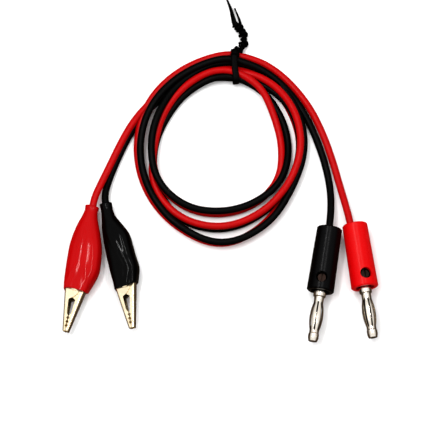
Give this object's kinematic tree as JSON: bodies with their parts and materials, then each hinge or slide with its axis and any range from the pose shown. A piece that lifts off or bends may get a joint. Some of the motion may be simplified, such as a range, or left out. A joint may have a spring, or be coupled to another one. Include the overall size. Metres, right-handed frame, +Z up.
{
  "type": "test lead pair",
  "caption": "Red and black bench test leads: bonded cord coiled and tied, sprung 4 mm plugs at one end, booted crocodile clips at the other.",
  "frame": {"origin": "centre of the plan box of everything but the cord, on the surface the leads lie on", "axes": "+Z up off the surface, +Y from the plugs and clips towards the twist tie's tail, +X from the clips towards the plugs"},
  "size_m": [0.1176, 0.1382, 0.0102],
  "materials": {
    "red_housing": "glossy moulded",
    "black_housing": "glossy moulded",
    "nickel_plate": "bright nickel plating",
    "steel_screw": "turned steel",
    "copper_strands": "bare tinned copper strand",
    "red_vinyl_cord": "soft glossy vinyl",
    "black_vinyl_cord": "soft glossy vinyl",
    "red_boot_vinyl": "dipped glossy vinyl",
    "black_boot_vinyl": "dipped glossy vinyl",
    "warm_nickel_sheet": "nickel plated sheet with a warm tone",
    "spring_wire": "drawn wire",
    "tie_plastic": "black coated",
    "tie_core": "annealed wire"
  },
  "bodies": {
    "lead": {"red_plug_housing": "red_housing", "red_plug_contact": "nickel_plate", "red_plug_strands": "copper_strands", "red_plug_lead": "red_vinyl_cord", "red_clip_fixed_jaw": "warm_nickel_sheet", "red_clip_pivot_pin": "steel_screw", "red_clip_spring": "spring_wire", "red_clip_strands": "copper_strands", "red_clip_boot": "red_boot_vinyl", "red_clip_lead": "red_vinyl_cord", "black_plug_housing": "black_housing", "black_plug_contact": "nickel_plate", "black_plug_strands": "copper_strands", "black_plug_lead": "black_vinyl_cord", "black_clip_fixed_jaw": "warm_nickel_sheet", "black_clip_pivot_pin": "steel_screw", "black_clip_spring": "spring_wire", "black_clip_strands": "copper_strands", "black_clip_boot": "black_boot_vinyl", "black_clip_lead": "black_vinyl_cord", "cord_coil": "red_vinyl_cord", "twist_tie_ribbon": "tie_plastic", "twist_tie_core_wire": "tie_core"},
    "red_plug_cage": {"red_plug_spring_cage": "nickel_plate"},
    "red_plug_screw": {"red_plug_clamp_screw": "steel_screw"},
    "red_moving_jaw": {"red_clip_moving_jaw": "warm_nickel_sheet"},
    "black_plug_cage": {"black_plug_spring_cage": "nickel_plate"},
    "black_plug_screw": {"black_plug_clamp_screw": "steel_screw"},
    "black_moving_jaw": {"black_clip_moving_jaw": "warm_nickel_sheet"}
  },
  "joints": [
    {"name": "red_cage_turn", "type": "hinge", "parent": "lead", "child": "red_plug_cage", "pos_m": [0.05465, -0.0574, 0.0051], "axis": [0.1495, -0.9888, 0], "continuous": true},
    {"name": "red_clamp_screw_turn", "type": "hinge", "parent": "lead", "child": "red_plug_screw", "pos_m": [0.05261, -0.04395, 0.0051], "axis": [0.2056, 0.0311, 0.9781], "range_deg": [0, 810]},
    {"name": "black_cage_turn", "type": "hinge", "parent": "lead", "child": "black_plug_cage", "pos_m": [0.03525, -0.0588, 0.0051], "axis": [-0.1495, -0.9888, 0], "continuous": true},
    {"name": "black_clamp_screw_turn", "type": "hinge", "parent": "lead", "child": "black_plug_screw", "pos_m": [0.03729, -0.04535, 0.0051], "axis": [-0.0345, 0.0052, 0.9994], "range_deg": [0, 810]},
    {"name": "red_jaw_open", "type": "hinge", "parent": "lead", "child": "red_moving_jaw", "pos_m": [-0.0544, -0.049, 0.0048], "axis": [0.2027, -0.0461, -0.9781], "range_deg": [0, 15], "stiffness_Nm_per_rad": 0.02, "springref_deg": -17.19, "deforming": ["red_clip_spring"]},
    {"name": "black_jaw_open", "type": "hinge", "parent": "lead", "child": "black_moving_jaw", "pos_m": [-0.0358, -0.0474, 0.0048], "axis": [0.2725, 0.0412, -0.9613], "range_deg": [0, 15], "stiffness_Nm_per_rad": 0.02, "springref_deg": -17.19, "deforming": ["black_clip_spring"]}
  ]
}
